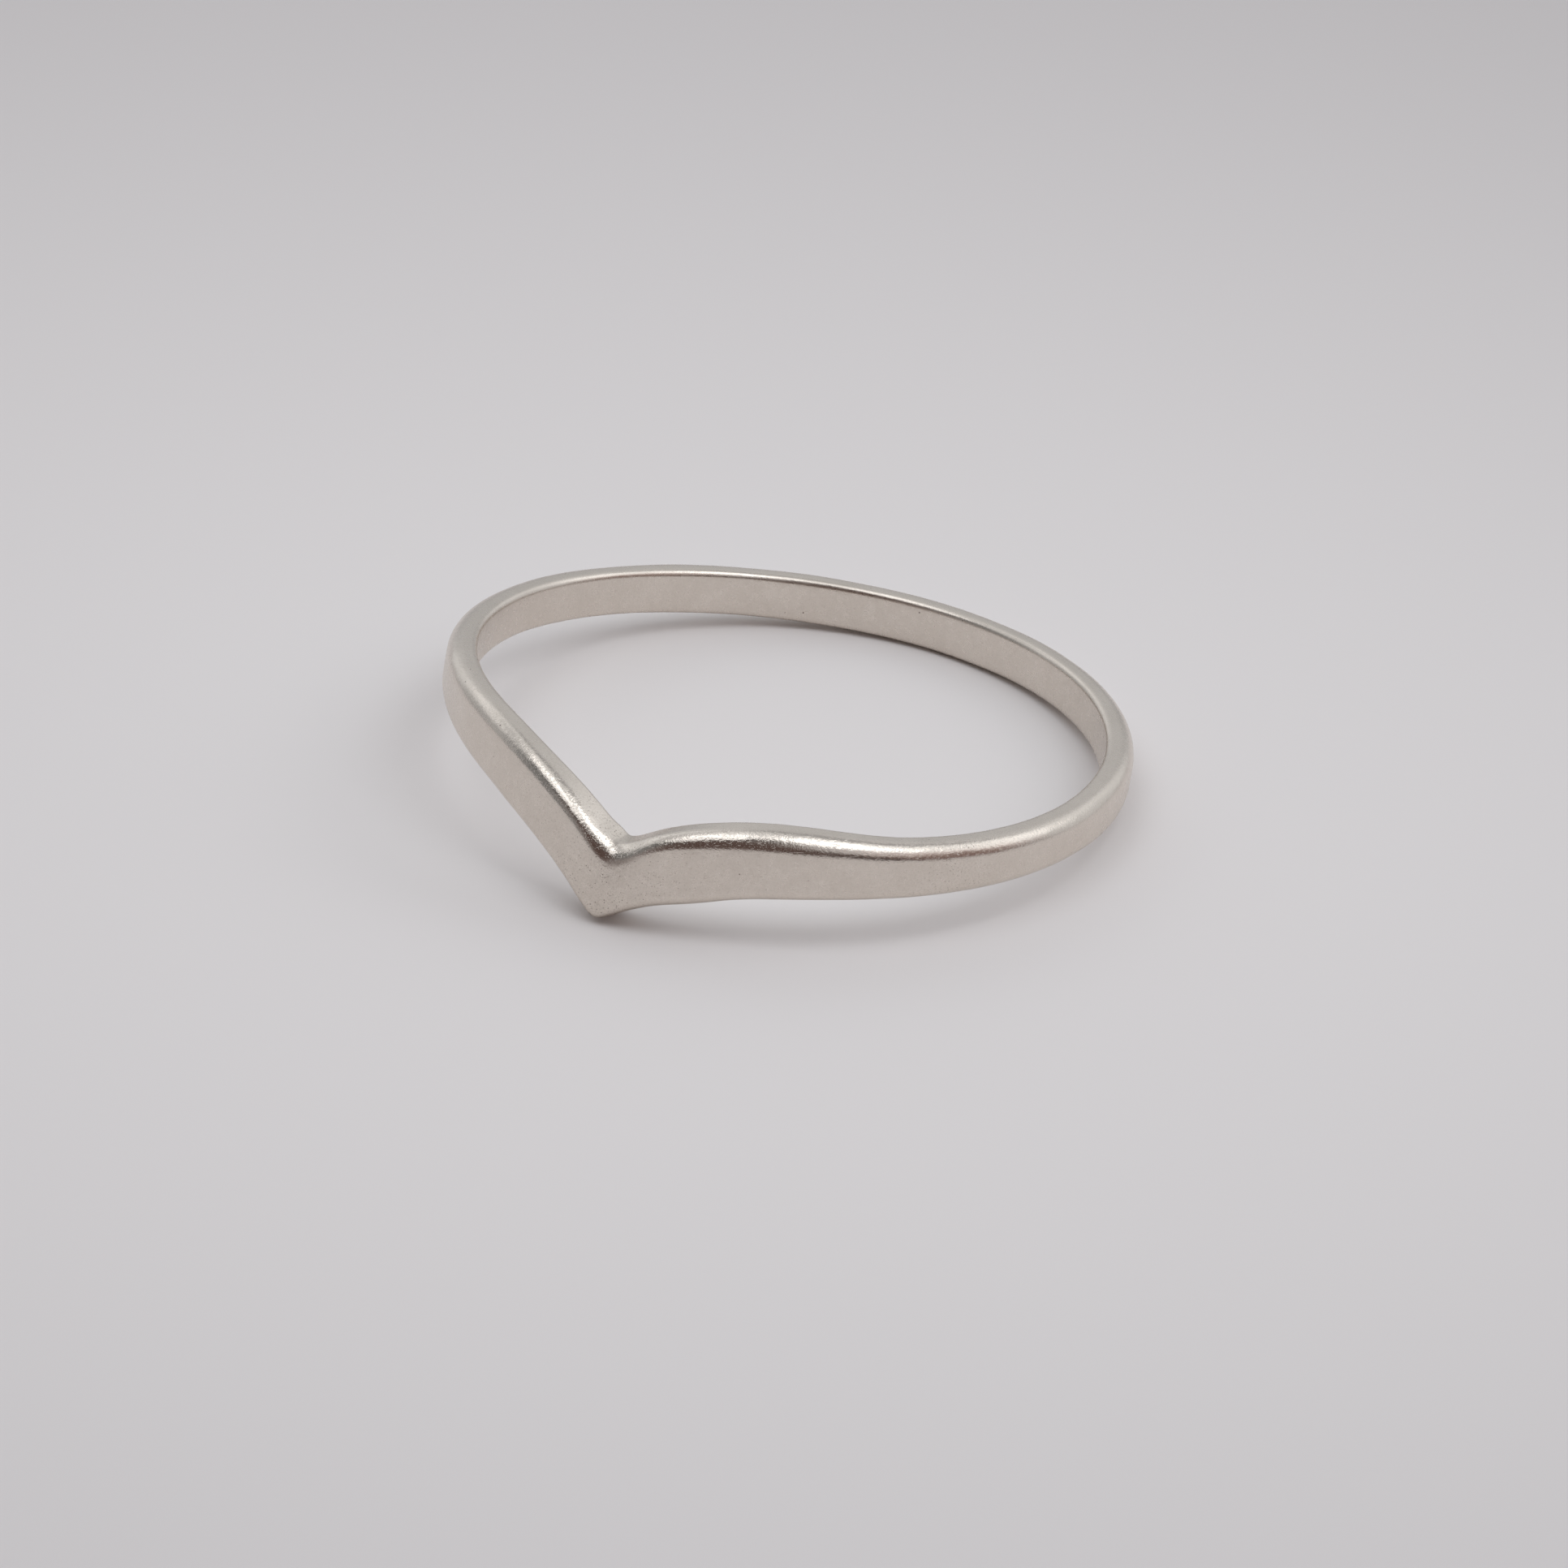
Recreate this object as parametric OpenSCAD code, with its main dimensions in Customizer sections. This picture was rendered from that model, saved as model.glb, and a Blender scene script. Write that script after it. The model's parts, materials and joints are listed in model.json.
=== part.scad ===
// Chevron ring: one slim band of satin silver that dips into a V at the front.
// It lies on its side as it would by itself, on the point of the V and on the back of its lower rim.
// The origin is on the surface under the middle of the ring, and the V points to -Y.

/* [Finger] */
// Inside diameter of the band
finger_d = 17; // [15:0.5:21]

/* [Band] */
// Radial thickness of the band at the sides and the back
wall_t = 0.8; // [0.8:0.05:1.2]
// Height of the band at the point of the V
front_h = 2.15; // [1.8:0.05:2.8]
// Height of the band at the back
back_h = 1.3; // [1.2:0.05:1.7]
// How far the hand-formed band is twisted out of flat
warp = 0.2; // [0:0.05:0.3]

/* [V] */
// How far the point hangs below the band
vee_depth = 2.05; // [1.2:0.05:2.8]
// Angle round the finger over which each arm levels out
vee_fade = 13.7; // [12:0.1:20]
// Extra radial thickness where the two arms meet
vee_extra_t = 0.55; // [0.2:0.05:0.8]
// How far the inner rim swells up on the shoulder of the right arm
right_rise = 0.21; // [0:0.01:0.25]
// How far the inner rim swells up on the shoulder of the left arm
left_rise = 0.06; // [0:0.01:0.25]
// How far the outer rim swells up on both shoulders
outer_rise = 0.06; // [0:0.01:0.1]
// How far the lower rim of the right arm hangs below its even curve, close to the point
right_belly = 0.1; // [0:0.01:0.15]

/* [Edges] */
// Radius of the soft upper outer edge
outer_edge_r = 0.45; // [0.3:0.05:0.5]
// Radius of the crisper lower outer edge
lower_edge_r = 0.3; // [0.25:0.05:0.45]
// Radius of the inner edges
inner_edge_r = 0.25; // [0.2:0.05:0.25]

/* [Hidden] */

finger_r = finger_d / 2;
// Angles from the point of the V over which its extra thickness and the taper in height fade
extra_fade = 12;
taper_end = 90;
taper_power = 1.7;
// Half angles over which the V is rounded: its crease inside and outside, its point and its ridge
inner_crease_round = 0.75;
outer_crease_round = 1.8;
point_round = 1.4;
ridge_round = 3.5;
// Place and spread of the swelling on each arm
shoulder_angle = 28.4;
shoulder_spread = 14.5;
// Place and spread of the belly on the lower rim of the right arm
belly_angle = 15.3;
belly_spread = 6;
// A little metal fills the crease at its inner end: its height, place and spread
fill_h = 0.23;
fill_angle = -0.75;
fill_spread = 2.25;
// Round the back the swept section reaches this far into the finger hole, and the bore cuts it to size
bore_skim = 0.06;
bore_reach = 4 * (vee_depth + front_h);
// Behind the V the inner face stands this far clear of the finger, and joins the bore on each arm
vee_relief = 0.03;
relief_start = 34;
relief_end = 44;

// Stations stand close together at the V and wide apart at the back
stations = 144;
station_power = 1.6;
outer_steps = 6;
inner_steps = 4;

// Angle of a station from the point of the V, positive towards +X
// The back of the rim lies between two stations, so the ring rests on the edge that joins them
function station_angle(i) =
    let (u = (2 * i + 1) / stations - 1) 180 * sign(u) * pow(abs(u), station_power);

// Angle away from the point of the V, with the corner there rounded over the given half angle
function softened(angle, round) = sqrt(angle * angle + round * round);

function mid_z(angle, away) = -vee_depth * exp(-away / vee_fade) - warp * sin(2 * angle);
function height_at(away) =
    back_h + (front_h - back_h) * pow(max(0, 1 - away / taper_end), taper_power);
function top_z(angle, round) =
    let (away = softened(angle, round)) mid_z(angle, away) + height_at(away) / 2;
function bell(offset, spread) = exp(-pow(offset / spread, 2));
function bottom_z(angle) =
    let (away = softened(angle, point_round))
    mid_z(angle, away) - height_at(away) / 2 - right_belly * bell(angle - belly_angle, belly_spread);
function wall_at(angle) =
    wall_t + vee_extra_t * exp(-softened(angle, ridge_round) / extra_fade);
function shoulder(angle) = bell(abs(angle) - shoulder_angle, shoulder_spread);
function inner_rise(angle) =
    (angle > 0 ? right_rise : left_rise) * shoulder(angle)
    + fill_h * bell(angle - fill_angle, fill_spread);
// Radius of the inner face before the bore is cut, eased from the V to the round back
function inner_r(angle) =
    let (u = min(1, max(0, (abs(angle) - relief_start) / (relief_end - relief_start))))
    finger_r + vee_relief - (vee_relief + bore_skim) * u * u * (3 - 2 * u);

// One rounded corner of the section, as [radius from the finger axis, height] points
function corner(centre, r, first, steps) =
    [for (k = [0 : steps]) let (a = first + 90 * k / steps) centre + r * [cos(a), sin(a)]];

// The section at a station: outer top, inner top, inner bottom and outer bottom corners
function section(angle) =
    let (
        outer = finger_r + wall_at(angle),
        inner = inner_r(angle) + inner_edge_r,
        outer_top = top_z(angle, outer_crease_round) + outer_rise * shoulder(angle),
        inner_top = top_z(angle, inner_crease_round) + inner_rise(angle),
        bottom = bottom_z(angle)
    )
    concat(
        corner([outer - outer_edge_r, outer_top - outer_edge_r], outer_edge_r, 0, outer_steps),
        corner([inner, inner_top - inner_edge_r], inner_edge_r, 90, inner_steps),
        corner([inner, bottom + inner_edge_r], inner_edge_r, 180, inner_steps),
        corner([outer - lower_edge_r, bottom + lower_edge_r], lower_edge_r, 270, outer_steps)
    );

section_points = 2 * (outer_steps + inner_steps + 2);
band_points = [
    for (i = [0 : stations - 1])
        let (angle = station_angle(i))
        for (p = section(angle)) [p.x * sin(angle), -p.x * cos(angle), p.y]
];
function point_index(i, j) = (i % stations) * section_points + j % section_points;
band_faces = [
    for (i = [0 : stations - 1], j = [0 : section_points - 1])
        for (f = [
            [point_index(i, j), point_index(i + 1, j), point_index(i + 1, j + 1)],
            [point_index(i, j), point_index(i + 1, j + 1), point_index(i, j + 1)]
        ]) f
];

// The floor touches two rounded lower edges: the inner one at the V, and the outer one at the back
front_edge = [-(inner_r(0) + inner_edge_r), bottom_z(0) + inner_edge_r];
back_edge = [finger_r + wall_t - lower_edge_r, lower_edge_r - back_h / 2];
edge_span = back_edge - front_edge;
tilt = atan2(edge_span.y, edge_span.x) - asin((lower_edge_r - inner_edge_r) / norm(edge_span));
// The twist lifts one side of the back, so the ring leans until the rim there lies level
lean = atan(2 * warp / back_edge.x);

// A point of the upright ring after it has tilted back and leaned over
function rested(p) =
    let (
        y = p.y * cos(tilt) + p.z * sin(tilt),
        z = p.z * cos(tilt) - p.y * sin(tilt)
    )
    [p.x * cos(lean) + z * sin(lean), y, z * cos(lean) - p.x * sin(lean)];

rested_points = [for (p = band_points) rested(p)];
low = [for (k = [0 : 2]) min([for (p = rested_points) p[k]])];
high = [for (k = [0 : 2]) max([for (p = rested_points) p[k]])];
floor_shift = -[(low.x + high.x) / 2, (low.y + high.y) / 2, low.z];

module band() {
    color("silver")
        translate(floor_shift)
            rotate([-tilt, lean, 0])
                difference() {
                    polyhedron(points = band_points, faces = band_faces);
                    cylinder(h = bore_reach, r = finger_r, center = true, $fn = 360);
                }
}

band();
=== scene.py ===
# %% [markdown]
# # A chevron ring in satin silver
#
# The object is one plain finger ring: a slim band of silver that dips into a V at the front.
# There is no stone and no setting, so the whole lesson is about one shape and one finish.
# The ring lies on its side on pale paper, on the point of its V and on the back of its lower rim.
#
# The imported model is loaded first. It fixes the ring's size, place and tilt, and everything below
# is built around it. The band is shaped in millimetres and then scaled to metres, the unit of
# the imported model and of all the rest.

# %% Load the frame
import json
import math

import bmesh
import bpy
from mathutils import Matrix, Vector, noise


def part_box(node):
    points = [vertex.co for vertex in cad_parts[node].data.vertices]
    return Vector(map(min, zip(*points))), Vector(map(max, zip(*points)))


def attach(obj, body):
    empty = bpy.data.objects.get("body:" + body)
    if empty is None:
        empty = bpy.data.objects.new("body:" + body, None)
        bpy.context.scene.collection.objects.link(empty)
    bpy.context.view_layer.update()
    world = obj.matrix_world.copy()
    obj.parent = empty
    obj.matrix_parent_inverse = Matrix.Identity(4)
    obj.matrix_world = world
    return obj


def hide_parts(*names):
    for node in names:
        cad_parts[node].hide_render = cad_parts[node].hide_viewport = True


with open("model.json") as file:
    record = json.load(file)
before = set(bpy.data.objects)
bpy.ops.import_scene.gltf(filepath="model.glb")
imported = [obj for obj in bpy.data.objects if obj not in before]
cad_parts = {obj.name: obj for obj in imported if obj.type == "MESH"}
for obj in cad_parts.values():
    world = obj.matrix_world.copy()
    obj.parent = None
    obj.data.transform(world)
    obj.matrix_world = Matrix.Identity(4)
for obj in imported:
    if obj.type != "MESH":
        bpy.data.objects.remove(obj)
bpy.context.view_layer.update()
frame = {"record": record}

MM = 0.001
scene = bpy.context.scene
band_low, band_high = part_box("band")
finger_hole = frame["record"]["mounts"][0]
print("the band's box in mm:", [round(s / MM, 2) for s in band_high - band_low])
print("finger hole:", finger_hole["dims"]["r_mm"], "mm in radius, along", finger_hole["axis"])

# %% [markdown]
# ## Camera
#
# The photograph was taken from close to, with a long lens, from above and a little to the right
# of the V. A long lens keeps the near and the far side of the ring at almost the same scale.
# The camera could be placed by hand until the outlines agree. Here its direction, roll, lens and
# aim come from fitting the ring's outline to the photograph's, and the direction is written as
# angles, so that it can be read and changed. A camera looks along its own -Z axis, so its +Z axis
# points back from the ring to the camera.

# %% Camera at the photograph's angle
IMAGE_PX = 1932
SENSOR_MM = 36.0
focal_px = 11971
view_azimuth = math.radians(28.31)
view_elevation = math.radians(28.68)
camera_roll = math.radians(3.57)
camera_distance = 260 * MM
nearest_seen = 10 * MM
aim = Vector((0.368, -0.329, 0.151)) * MM

level = math.cos(view_elevation)
camera_side = Vector((math.sin(view_azimuth), -math.cos(view_azimuth), 0))
back = camera_side * level + Vector((0, 0, math.sin(view_elevation)))
right = Vector((math.cos(view_azimuth), math.sin(view_azimuth), 0))
up = back.cross(right)
rolled_right = right * math.cos(camera_roll) + up * math.sin(camera_roll)
rolled_up = up * math.cos(camera_roll) - right * math.sin(camera_roll)

camera_data = bpy.data.cameras.new("camera")
camera_data.sensor_width = SENSOR_MM
camera_data.lens = focal_px * SENSOR_MM / IMAGE_PX
camera_data.clip_start = nearest_seen
camera = bpy.data.objects.new("camera", camera_data)
turn = Matrix((rolled_right, rolled_up, back)).transposed().to_4x4()
camera.matrix_world = Matrix.Translation(aim + back * camera_distance) @ turn
scene.collection.objects.link(camera)
scene.camera = camera
print("camera lens:", round(camera_data.lens, 1), "mm")

# %% [markdown]
# ## The section of the band
#
# Cut across, the real band is a small rectangle with soft corners. The upper outer corner is the
# roundest, because it is rubbed every day, and the lower outer and the inner ones are crisper.
# Such a section could be typed in as a list of points, but a rectangle whose four corners are
# bevelled is shorter and shows what it is. The section is drawn at the back of the ring, where
# the band is lowest, in the XZ plane: X is the distance from the finger's axis, Z the height.
#
# The long straight sides get a few cuts, so that the surface can be made a little uneven later.

# %% Section with bevelled corners
finger_r = finger_hole["dims"]["r_mm"]
wall_t = 0.8
back_h = 1.3
outer_edge_r = 0.45
lower_edge_r = 0.3
inner_edge_r = 0.18
outer_edge_steps = 12
lower_edge_steps = 8
inner_edge_steps = 6

ring = bmesh.new()
outer_r = finger_r + wall_t
half_h = back_h / 2
places = ((outer_r, 0, -half_h), (outer_r, 0, half_h), (finger_r, 0, half_h), (finger_r, 0, -half_h))
corners = [ring.verts.new(place) for place in places]
lower_outer, upper_outer, *inner = corners
ring.faces.new(corners)


def round_corners(corners, radius, steps):
    """Bevels corners of the section to quarter circles."""
    bmesh.ops.bevel(
        ring, geom=corners, offset=radius, offset_type="OFFSET", affect="VERTICES",
        segments=steps, profile=0.5, material=-1,
    )


round_corners([upper_outer], outer_edge_r, outer_edge_steps)
round_corners([lower_outer], lower_edge_r, lower_edge_steps)
round_corners(inner, inner_edge_r, inner_edge_steps)
bmesh.ops.delete(ring, geom=ring.faces[:], context="FACES_ONLY")
print("the rounded section has", len(ring.verts), "points")

# %% Cut the straight sides
side_cuts = 7
rim_cuts = 4
straight = 1e-6
# The steps of a rounded corner are all shorter than this
step_length = outer_edge_r / 4

upright = [e for e in ring.edges if abs(e.verts[0].co.x - e.verts[1].co.x) < straight]
flat = [e for e in ring.edges if abs(e.verts[0].co.z - e.verts[1].co.z) < straight]
for sides, cuts in ((upright, side_cuts), (flat, rim_cuts)):
    long_sides = [e for e in sides if e.calc_length() > step_length]
    bmesh.ops.subdivide_edges(ring, edges=long_sides, cuts=cuts)
print("with its sides cut it has", len(ring.verts), "points")

# %% [markdown]
# ## Spinning the section into a hoop
#
# A ring is a section carried once round the finger, and that is what a full spin does. With
# use_merge the last copy is welded to the first, so the hoop has no seam. The spin makes a flat,
# even hoop as high as the back of the band all round. The V comes after it.

# %% Spin
stations = 560
weld_distance = 1e-5

bmesh.ops.spin(
    ring, geom=ring.verts[:] + ring.edges[:], cent=(0, 0, 0), axis=(0, 0, 1), dvec=(0, 0, 0),
    angle=2 * math.pi, steps=stations, use_merge=True, use_duplicate=False,
)
bmesh.ops.remove_doubles(ring, verts=ring.verts[:], dist=weld_distance)
print("the hoop has", len(ring.verts), "vertices and", len(ring.faces), "faces")

# %% [markdown]
# ## The chevron as functions of an angle
#
# A goldsmith bends the V into the wire over a mandrel. The two arms fall towards the point, the
# band grows taller and thicker there, and each arm swells a little at its shoulder. All of this
# depends only on the angle round the finger from the point of the V, so each trait is a short
# function of that angle, in degrees. A lattice or a curve modifier could do something alike, but
# they don't hold the finger hole at its exact radius, and these formulas do.
#
# The V itself is one exponential: its depth fades with the angle away from the point, and a
# softened angle rounds the corner there.

# %% The V, its taper and its twist
front_h = 2.15
vee_depth = 2.05
vee_fade = 13.7
vee_extra_t = 0.55
extra_fade = 12
taper_end = 90
taper_power = 1.7
warp = 0.2
ridge_round = 3.5


def softened(angle, half_angle):
    """The angle away from the point of the V, with the corner there rounded over."""
    return math.hypot(angle, half_angle)


def middle(angle, away):
    """Height of the middle of the band over the back, which falls to the V and twists a little."""
    twist = warp * math.sin(2 * math.radians(angle))
    return -vee_depth * math.exp(-away / vee_fade) - twist


def half_height(away):
    """Half the height of the band, which tapers from the V to the sides."""
    return (back_h + (front_h - back_h) * max(0, 1 - away / taper_end) ** taper_power) / 2


def extra_wall(angle):
    """How much thicker the wall is than at the back."""
    return vee_extra_t * math.exp(-softened(angle, ridge_round) / extra_fade)


print("wall at the V:", round(wall_t + extra_wall(0), 2), "mm")

# %% [markdown]
# ## The rims
#
# The upper rim has an inner and an outer side, and they don't run quite alike: the crease of the
# V is sharp inside and worn round outside, and the inner side swells more on the right shoulder.
# The lower rim hangs in a slight belly beside the point. None of this is needed for a ring, but
# such small faults show that the band was bent by hand.

# %% Rims
shoulder_angle = 28.4
shoulder_spread = 14.5
right_rise = 0.21
left_rise = 0.06
outer_rise = 0.06
belly_h = 0.1
belly_angle = 15.3
belly_spread = 6
fill_h = 0.14
fill_angle = 0.1
fill_spread = 2.3
inner_crease_angle = 1.0
outer_crease_angle = 0.1
crease_reach = 12
inner_crease_round = 0.85
outer_crease_round = 1.8
point_round = 1.4


def bell(offset, spread):
    """1 at no offset, and fading smoothly to 0 on both sides."""
    return math.exp(-((offset / spread) ** 2))


def shoulder(angle):
    return bell(abs(angle) - shoulder_angle, shoulder_spread)


def upper_rim(angle, crease_angle, half_angle):
    away = softened(angle - crease_angle * bell(angle, crease_reach), half_angle)
    return middle(angle, away) + half_height(away)


def outer_upper_rim(angle):
    return upper_rim(angle, outer_crease_angle, outer_crease_round) + outer_rise * shoulder(angle)


def inner_upper_rim(angle):
    rise = right_rise if angle > 0 else left_rise
    fill = fill_h * bell(angle - fill_angle, fill_spread)
    return upper_rim(angle, inner_crease_angle, inner_crease_round) + rise * shoulder(angle) + fill


def lower_rim(angle):
    away = softened(angle, point_round)
    belly = belly_h * bell(angle - belly_angle, belly_spread)
    return middle(angle, away) - half_height(away) - belly


print("height at the V:", round(outer_upper_rim(0) - lower_rim(0), 2), "mm")

# %% [markdown]
# ## Wear
#
# Wear follows the shape, so it is worked out here and not in the material. Outer corners are
# burnished, most of all near the V. Pits crowd at the V, and a knock has left a second patch on
# the right arm. Beside the V the upper outer corner is also rubbed down, which softens the line
# of light on it. The first two are kept with each vertex as attributes for the shader to read.

# %% Burnish, pits and a rubbed corner
rubbed_back = 0.3
rubbed_reach = 75
rubbed_share = 1 / 3
pitted_fade = 9
knock = 0.5
knock_angle = 58
knock_spread = 7
ease_depth = 0.10
ease_angle = 3
ease_spread = 3.5
ease_start = 0.18
ease_end = 0.75


def share(value, start, end):
    """How far a value has gone from start to end, held between 0 and 1."""
    return min(1, max(0, (value - start) / (end - start)))


def smooth_step(t):
    """The same share with a soft beginning and end."""
    return t * t * (3 - 2 * t)


def burnish_at(radius, height, angle):
    """How shiny a point of the section is: only its outer corners are."""
    edge_r = outer_edge_r if height > 0 else lower_edge_r
    into_corner = min(radius - outer_r, abs(height) - half_h) + edge_r
    rubbed = rubbed_back + (1 - rubbed_back) * bell(angle, rubbed_reach)
    return share(into_corner, 0, edge_r * rubbed_share) * rubbed


def pitted_at(angle):
    """How crowded the fine pits are."""
    return math.exp(-abs(angle) / pitted_fade) + knock * bell(angle - knock_angle, knock_spread)


def eased_at(radius, height, angle):
    """How far the upper outer corner is rubbed down, in and downwards alike."""
    from_corner = math.hypot(outer_r - radius, half_h - height)
    near_corner = smooth_step(share(from_corner, ease_end, ease_start))
    return ease_depth * bell(angle - ease_angle, ease_spread) * near_corner


print("rubbed down by", round(eased_at(outer_r, half_h, 0), 2), "mm at the V")

# %% [markdown]
# ## Bending the hoop
#
# Each vertex keeps its place in the section, and its angle says how far the outer side, the upper
# rim and the lower rim move. Shares say how much of each move a vertex makes: how far outward and
# how far upward it lies between the rounded corners, which keep their radius, and how far across
# the wall. The vertices are also drawn together towards the V, because the shape turns there.

# %% Move the vertices
crowding = 1.6

burnish_layer = ring.verts.layers.float.new("burnish")
pitted_layer = ring.verts.layers.float.new("pitted")


def lift_at(radius, height, angle, outward):
    """How far a point of the hoop rises, for its place in the section and its angle."""
    corner_r = inner_edge_r + (outer_edge_r - inner_edge_r) * outward
    upward = share(height, corner_r - half_h, half_h - corner_r)
    across = share(radius, finger_r, outer_r)
    top = inner_upper_rim(angle) * (1 - across) + outer_upper_rim(angle) * across
    return (top - half_h) * upward + (lower_rim(angle) + half_h) * (1 - upward)


for v in ring.verts:
    radius = math.hypot(v.co.x, v.co.y)
    height = v.co.z
    even = math.degrees(math.atan2(v.co.x, -v.co.y)) / 180
    angle = 180 * math.copysign(abs(even) ** crowding, even)
    v[burnish_layer] = burnish_at(radius, height, angle)
    v[pitted_layer] = pitted_at(angle)
    outward = share(radius, finger_r + inner_edge_r, outer_r - outer_edge_r)
    eased = eased_at(radius, height, angle)
    new_radius = radius + extra_wall(angle) * outward - eased
    new_height = height + lift_at(radius, height, angle, outward) - eased
    turned = math.radians(angle)
    v.co = Vector((new_radius * math.sin(turned), -new_radius * math.cos(turned), new_height))
heights = [v.co.z for v in ring.verts]
print("the upright ring is", round(max(heights) - min(heights), 2), "mm high")

# %% [markdown]
# ## Laying the ring down
#
# The upright ring stands on nothing. Set down by itself it tips back until the point of the V and
# the back of the lower rim touch the paper, and leans a little to one side because the band is
# twisted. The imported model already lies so, and its finger hole has an axis, so the two angles
# are read from that axis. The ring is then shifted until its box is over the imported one.

# %% Tip, lean and set down
axis = Vector(finger_hole["axis"]).normalized()
tip_back = math.asin(axis.y)
lean = math.atan2(axis.x, axis.z)
laid = Matrix.Rotation(lean, 3, "Y") @ Matrix.Rotation(-tip_back, 3, "X")
bmesh.ops.rotate(ring, verts=ring.verts[:], cent=(0, 0, 0), matrix=laid)


def box_of(verts):
    """The lowest and the highest corner of the box round some vertices."""
    low = Vector([min(v.co[k] for v in verts) for k in range(3)])
    high = Vector([max(v.co[k] for v in verts) for k in range(3)])
    return low, high


bmesh.ops.scale(ring, verts=ring.verts[:], vec=(MM, MM, MM))
low, high = box_of(ring.verts)
shift = (band_low + band_high - low - high) / 2
shift.z = band_low.z - low.z
bmesh.ops.translate(ring, verts=ring.verts[:], vec=shift)
print("tipped back by", round(math.degrees(tip_back), 2), "degrees")
print("leaning by", round(math.degrees(lean), 2), "degrees")

# %% [markdown]
# ## A surface made by hand
#
# Filing, bending and tumbling leave a surface that is about a hundredth of a millimetre out of
# true. It hardly shows in the outline, but a line of light along an edge wavers with it, and
# without it the metal looks like plastic. A displacement texture could do it. Here a smooth noise
# with a fixed field moves each vertex along its normal, so the result is the same each run.

# %% Hand unevenness
wave_depth = 0.012 * MM
ripple_depth = 0.004 * MM
wave_per_m = 0.55 / MM
ripple_per_m = 2.1 / MM

bmesh.ops.recalc_face_normals(ring, faces=ring.faces[:])
ring.normal_update()
for v in ring.verts:
    wave = noise.noise(v.co * wave_per_m)
    ripple = noise.noise(v.co * ripple_per_m)
    v.co += v.normal * (wave_depth * wave + ripple_depth * ripple)

lowest = min(v.co.z for v in ring.verts)
bmesh.ops.translate(ring, verts=ring.verts[:], vec=(0, 0, band_low.z - lowest))
for face in ring.faces:
    face.smooth = True

satin_mesh = bpy.data.meshes.new("satin_band")
ring.to_mesh(satin_mesh)
ring.free()
satin_band = bpy.data.objects.new("satin_band", satin_mesh)
scene.collection.objects.link(satin_band)
print("satin_band has", len(satin_mesh.vertices), "vertices and", len(satin_mesh.polygons), "faces")

# %% [markdown]
# ## Shader maths as plain expressions
#
# A material is a graph of nodes, and adding nodes one by one hides the idea behind it. The small
# class below wraps one output socket. Arithmetic on it adds Math nodes, so a mask can be written
# as 1 - worn * depth. Every other node comes from its node method: the node's type, then its
# settings, then the values or links of its sockets.


# %% A socket that can do arithmetic
def feed(tree, node, sockets):
    """Links or sets the input sockets of a node."""
    for name, value in sockets.items():
        if isinstance(value, Shade):
            tree.links.new(value.socket, node.inputs[name])
        else:
            node.inputs[name].default_value = value


class Shade:
    """One output socket of a node tree, with Python's arithmetic on it."""

    def __init__(self, tree, socket=None):
        self.tree = tree
        self.socket = socket

    def node(self, kind, settings, sockets, out=0):
        """Adds a node and gives its output of that name or number."""
        made = self.tree.nodes.new(kind)
        for name, value in settings.items():
            setattr(made, name, value)
        feed(self.tree, made, sockets)
        return Shade(self.tree, made.outputs[out])

    def math(self, operation, a, b):
        return self.node("ShaderNodeMath", {"operation": operation}, {0: a, 1: b})

    def vector(self, operation, sockets, out=0):
        return self.node("ShaderNodeVectorMath", {"operation": operation}, sockets, out)

    def blend(self, factor, a, b):
        """A colour between a and b. The node's sockets share names, so they go by number."""
        return self.node("ShaderNodeMix", {"data_type": "RGBA"}, {0: factor, 6: a, 7: b}, 2)

    def ramp(self, start, end):
        """0 below start, 1 above end and a soft step between them."""
        sockets = {"Value": self, "From Min": start, "From Max": end}
        return self.node("ShaderNodeMapRange", {"interpolation_type": "SMOOTHSTEP"}, sockets)

    def __add__(self, other):
        return self.math("ADD", self, other)

    def __sub__(self, other):
        return self.math("SUBTRACT", self, other)

    def __rsub__(self, other):
        return self.math("SUBTRACT", other, self)

    def __mul__(self, other):
        return self.math("MULTIPLY", self, other)

    __radd__ = __add__
    __rmul__ = __mul__


def new_material(name):
    """An empty material, its Principled shader's node and a wrapper for its tree."""
    material = bpy.data.materials.new(name)
    material.use_nodes = True
    tree = material.node_tree
    tree.nodes.clear()
    shader = tree.nodes.new("ShaderNodeBsdfPrincipled")
    output = tree.nodes.new("ShaderNodeOutputMaterial")
    tree.links.new(shader.outputs[0], output.inputs["Surface"])
    return material, shader, Shade(tree)


# %% [markdown]
# ## Satin silver
#
# The metal is tumbled to a satin: not a mirror and not brushed, but covered in marks so small
# that they blur what is reflected. Close to the V it is peppered with fine dark pits, and the
# outer edges are burnished by rubbing, so they reflect more sharply. A roughness alone would give
# an even blur, which looks sprayed. So the finish is made of five layers, all in the ring's own
# coordinates in millimetres: a cloudy change of tone, a fine grain in tone and bump, pits that
# are both dark and sunk, short scratches, and a lower roughness on the worn edges.

# %% Cloud and grain
cloud_per_mm = 1.1
mottle_per_mm = 4.5
coarse_per_mm = 8.0
fine_per_mm = 17.0
dust_per_mm = 27.0

satin, satin_shader, shade = new_material("satin_silver_finish")
place = shade.node("ShaderNodeTexCoord", {}, {}, "Object")
place_mm = shade.vector("SCALE", {0: place, "Scale": 1 / MM})
burnish = shade.node("ShaderNodeAttribute", {"attribute_name": "burnish"}, {}, "Fac")
pitted = shade.node("ShaderNodeAttribute", {"attribute_name": "pitted"}, {}, "Fac")
bare = 1 - burnish


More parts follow.
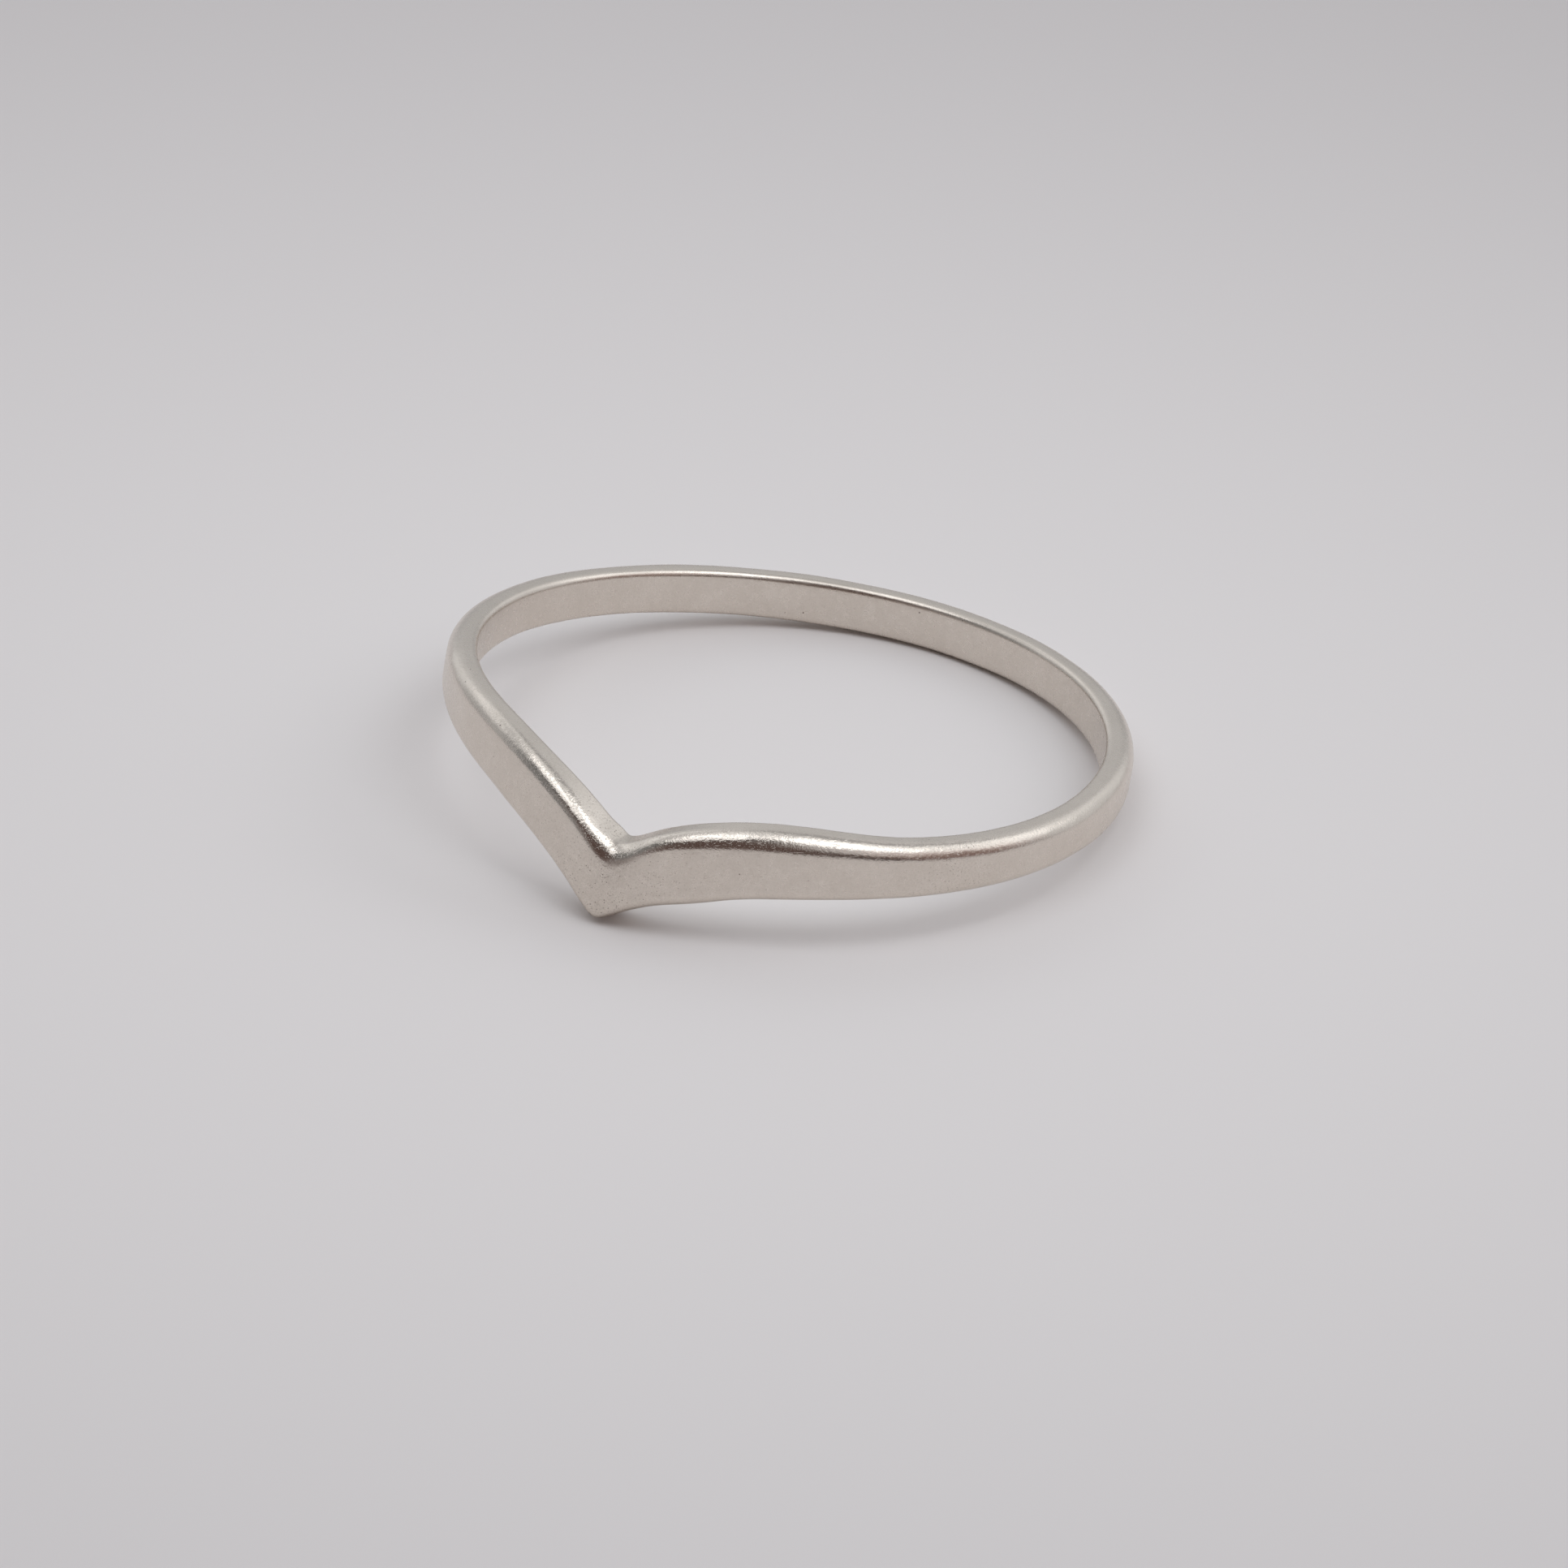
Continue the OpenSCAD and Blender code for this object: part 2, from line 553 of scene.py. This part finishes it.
def noise_field(where, waves, detail, roughness=0.5):
    """Smooth noise with so many waves to each unit of where, such as a millimetre."""
    sockets = {"Vector": where, "Scale": waves, "Detail": detail, "Roughness": roughness}
    return shade.node("ShaderNodeTexNoise", {"noise_dimensions": "3D"}, sockets, "Fac")


cloud = noise_field(place_mm, cloud_per_mm, detail=2.0).ramp(start=0.35, end=0.65)
mottle = noise_field(place_mm, mottle_per_mm, detail=2.0, roughness=0.6).ramp(start=0.3, end=0.7)
coarse_grain = noise_field(place_mm, coarse_per_mm, detail=2.0, roughness=0.65)
fine_grain = noise_field(place_mm, fine_per_mm, detail=1.0, roughness=0.6)
dust_grain = noise_field(place_mm, dust_per_mm, detail=0.0)
print("finest grain:", round(1 / dust_per_mm, 3), "mm")

# %% [markdown]
# ## Pits
#
# The real pits are pinholes a few hundredths of a millimetre across. Modelled one by one they
# would cost many triangles. A cell texture puts one point in each cell: the distance to it draws
# a round pit, and the cell's random colour says whether that cell has a pit at all.

# %% Pits
fine_pit_cells = 15.0
fine_pit_size = 0.30
fine_pit_share = 0.34
large_pit_cells = 4.5
large_pit_size = 0.12
large_pit_share = 0.04
flat_share = 0.5
sure_share = 0.9
crowded_pits = 0.9
stray_pits = 0.06


def pit_field(per_mm, size, keep):
    """Round pits in some cells of a field of cells: 1 in the middle of a pit."""
    cell = {"Vector": place_mm, "Scale": per_mm}
    distance = shade.node("ShaderNodeTexVoronoi", {"feature": "F1"}, cell, "Distance")
    colour = shade.node("ShaderNodeTexVoronoi", {"feature": "F1"}, cell, "Color")
    chance = shade.node("ShaderNodeSeparateColor", {}, {0: colour}, "Red")
    dip = 1 - distance.ramp(size * flat_share, size)
    return dip * chance.ramp(1 - keep, 1 - keep * sure_share)


crowd = pitted * crowded_pits + stray_pits
fine_pits = pit_field(fine_pit_cells, fine_pit_size, fine_pit_share) * crowd
large_pits = pit_field(large_pit_cells, large_pit_size, large_pit_share)
pits = shade.math("MAXIMUM", fine_pits, large_pits)
print("fine pits:", round(2 * fine_pit_size / fine_pit_cells, 3), "mm across")

# %% [markdown]
# ## Scratches
#
# Wear adds short fine scratches that run two ways. They could be drawn as curves, but noise
# stretched along one direction breaks up into such strokes by itself, and a ramp keeps only
# its crests.

# %% Scratches
stroke_turns = (math.radians(35), math.radians(-50))
stroke_length = 0.28
stroke_width = 0.035
stroke_crest = (0.62, 0.74)


def stroke_field(turn):
    """Short scratches that all run one way."""
    size = (stroke_width, stroke_length, stroke_width)
    sockets = {"Vector": place_mm, "Rotation": (0, turn, turn), "Scale": size}
    stretched = shade.node("ShaderNodeMapping", {"vector_type": "TEXTURE"}, sockets)
    return noise_field(stretched, waves=1.0, detail=1.0).ramp(*stroke_crest)


strokes = shade.math("MAXIMUM", stroke_field(stroke_turns[0]), stroke_field(stroke_turns[1]))
print("scratches:", stroke_length, "mm long")

# %% [markdown]
# ## The layers together
#
# The tone goes from the clear silver to duller ones, one blend for each layer, and last to the
# pits. The roughness falls from the bare faces to the burnished edges. The height under the bump
# adds up the grain, the scratches and the pits. It comes to about a hundredth of a millimetre,
# because marks on metal this small are far shallower than they are wide.

# %% Tone, roughness and height
silver = (0.765, 0.70, 0.63, 1)
silver_cloud = (0.72, 0.655, 0.585, 1)
grain_tone = (0.62, 0.56, 0.495, 1)
pit_tone = (0.20, 0.165, 0.14, 1)
cloud_strength = 0.6
mottle_strength = 0.25
fine_strength = 0.7
dust_strength = 0.35
pit_strength = 0.8
grain_everywhere = 0.35
grain_of_pitted = 0.65
face_roughness = 0.26
edge_roughness = 0.20
mottle_roughness = 0.06
coarse_height = 1.3
fine_height = 0.5
stroke_height = 0.35
marks_everywhere = 0.4
marks_of_burnish = 0.5
bump_depth = 0.007 * MM

grainy = pitted * grain_of_pitted + grain_everywhere
fine_dark = 1 - fine_grain.ramp(start=0.32, end=0.5)
dust_dark = 1 - dust_grain.ramp(start=0.35, end=0.55)
tone = shade.blend(cloud * cloud_strength, silver, silver_cloud)
tone = shade.blend(mottle * bare * mottle_strength, tone, silver_cloud)
tone = shade.blend(fine_dark * grainy * fine_strength, tone, grain_tone)
tone = shade.blend(dust_dark * grainy * dust_strength, tone, grain_tone)
tone = shade.blend(pits * pit_strength, tone, pit_tone)
roughness = (face_roughness + mottle * mottle_roughness) * bare + burnish * edge_roughness
marks = coarse_grain * coarse_height + fine_grain * fine_height - strokes * stroke_height
height = marks * (marks_everywhere + burnish * marks_of_burnish) - pits
bump_sockets = {"Strength": 1.0, "Distance": bump_depth, "Height": height}
feed(satin.node_tree, satin_shader, {
    "Base Color": tone,
    "Roughness": roughness,
    "Metallic": 1.0,
    "Normal": shade.node("ShaderNodeBump", {}, bump_sockets, "Normal"),
})
satin_mesh.materials.append(satin)
print("satin silver has", len(satin.node_tree.nodes), "nodes")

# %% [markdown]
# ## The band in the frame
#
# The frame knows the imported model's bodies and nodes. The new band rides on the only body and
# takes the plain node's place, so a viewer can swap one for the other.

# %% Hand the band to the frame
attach(satin_band, "root")
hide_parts("band")
print("satin_band replaces the band")

# %% [markdown]
# ## Paper
#
# The ring lies on a sheet of pale paper that runs out of the picture on all sides. In the
# photograph the paper is lightest round the ring. A spot lamp could do that, but it would also
# change what the metal mirrors, so this pool of light is painted into the paper's colour instead:
# the colour darkens with the distance from the ring.

# %% Paper
paper_size = 1.6
paper_colour = (0.885, 0.857, 0.852, 1)
paper_painted_shade_colour = (0.594, 0.57, 0.571, 1)
paper_roughness = 0.9
paper_sheen = 0.1
pool_reach = 90 * MM

paper_bm = bmesh.new()
bmesh.ops.create_grid(paper_bm, x_segments=8, y_segments=8, size=paper_size / 2)
paper_mesh = bpy.data.meshes.new("paper")
paper_bm.to_mesh(paper_mesh)
paper_bm.free()
paper = bpy.data.objects.new("paper", paper_mesh)
scene.collection.objects.link(paper)

paper_finish, paper_shader, shade = new_material("pale_paper")
place = shade.node("ShaderNodeTexCoord", {}, {}, "Object")
# Painted pool of light: the paper's colour darkens from the ring outwards, out to pool_reach.
painted_light_falloff = shade.vector("LENGTH", {0: place}, "Value").ramp(0, pool_reach)
feed(paper_finish.node_tree, paper_shader, {
    "Base Color": shade.blend(painted_light_falloff, paper_colour, paper_painted_shade_colour),
    "Roughness": paper_roughness,
    "Specular IOR Level": paper_sheen,
})
paper_mesh.materials.append(paper_finish)
print("paper:", paper_size, "m wide")

# %% [markdown]
# ## A room of soft light
#
# Satin metal shows its surroundings, only blurred, so what matters is not one lamp but where the
# room is light and where it is dark. The flat top of the band mirrors the wall behind, the outer
# face mirrors the paper, and the rounded edge between them mirrors all that lies above: the
# bright line on it is the ceiling and the lamps, and the brown line below is the unlit side where
# the camera stands. An image of a room would do, but a few soft round patches say the same, and
# each one can be made stronger or weaker by itself.

# %% The room as soft patches of light
daylight = Vector((0.98, 1.0, 1.03))
dusk = Vector((1.15, 0.78, 0.70))
backdrop = (0.62, 0.61, 0.62, 1)
PATCHES = (
    # name, azimuth from the camera's side, elevation, inner and outer half angle, radiance, colour
    ("ceiling", 0, 90, 8, 32, 0.68, daylight),
    ("front corner, right", 42, 45, 8, 30, 0.52, daylight),
    ("back wall, low", 180, 12, 22, 52, 0.41, daylight),
    ("back wall, middle", 180, 38, 12, 36, 0.19, daylight),
    ("back corner, right", 138, 50, 8, 28, 0.22, daylight),
    ("back corner, left", -145, 15, 12, 36, 0.08, daylight),
    ("left wall, low", -125, 12, 15, 40, 0.40, daylight),
    ("left wall, high", -125, 52, 12, 36, 0.56, daylight),
    ("right wall, low", 118, 16, 15, 42, 0.66, daylight),
    ("right wall, high", 100, 46, 10, 30, 0.78, daylight),
    ("left of the camera", -75, 10, 15, 40, 0.22, daylight),
    ("right of the camera", 66, 22, 12, 34, 0.20, dusk),
    ("unlit side", -15, 15, 20, 60, 0.09, dusk),
)


def towards(azimuth, elevation):
    """The direction at an azimuth from the camera's side and an elevation, in degrees."""
    turned = Matrix.Rotation(math.radians(azimuth), 3, "Z") @ camera_side
    climb = math.radians(elevation)
    return turned * math.cos(climb) + Vector((0, 0, math.sin(climb)))


world = bpy.data.worlds.new("room")
scene.world = world
world.use_nodes = True
world.node_tree.nodes.clear()
shade = Shade(world.node_tree)
direction = shade.node("ShaderNodeTexCoord", {}, {}, "Generated")
light = (0, 0, 0)
for name, azimuth, elevation, inner, outer, radiance, colour in PATCHES:
    facing = shade.vector("DOT_PRODUCT", {0: direction, 1: towards(azimuth, elevation)}, "Value")
    patch = facing.ramp(math.cos(math.radians(outer)), math.cos(math.radians(inner)))
    glow = shade.vector("SCALE", {0: colour * radiance, "Scale": patch})
    light = shade.vector("ADD", {0: glow, 1: light})
print("the room has", len(PATCHES), "patches of light")

# %% [markdown]
# ## What the camera sees behind the paper
#
# The patches only have to light the ring. From a low side view the camera would also see them
# past the edge of the paper, so a camera ray finds an even grey there instead.

# %% Background
seen = shade.node("ShaderNodeLightPath", {}, {}, "Is Camera Ray")
sky = shade.blend(seen, light, backdrop)
background = shade.node("ShaderNodeBackground", {}, {"Color": sky})
world_output = world.node_tree.nodes.new("ShaderNodeOutputWorld")
world.node_tree.links.new(background.socket, world_output.inputs["Surface"])
print("the room's light has", len(world.node_tree.nodes), "nodes")

# %% [markdown]
# ## Two soft lamps
#
# Two broad lamps hang high in front, one to each side. The left one draws the bright line along
# the left arm, and the right one the line on the far end of the right arm. Together they set how
# dark the paper is under the V. Area lamps are used and not more patches, because a small strong
# light in the world's background takes many samples to come out clean.

# %% Lamps
LAMPS = (
    # name, azimuth from the camera's side, elevation, radiance
    ("left_lamp", -60, 66, 1.10),
    ("right_lamp", 60, 66, 1.40),
)
lamp_distance = 0.5
lamp_size = 0.32
lamp_area = math.pi * (lamp_size / 2) ** 2

for name, azimuth, elevation, radiance in LAMPS:
    lamp_data = bpy.data.lights.new(name, "AREA")
    lamp_data.shape = "DISK"
    lamp_data.size = lamp_size
    lamp_data.color = daylight
    lamp_data.energy = radiance * math.pi * lamp_area
    lamp = bpy.data.objects.new(name, lamp_data)
    side = towards(azimuth, elevation)
    facing_ring = side.to_track_quat("Z", "Y").to_matrix().to_4x4()
    lamp.matrix_world = Matrix.Translation(side * lamp_distance) @ facing_ring
    scene.collection.objects.link(lamp)
    print(name, "gives", round(lamp_data.energy, 3), "W")
scene.view_settings.view_transform = "Standard"
scene.view_settings.look = "None"
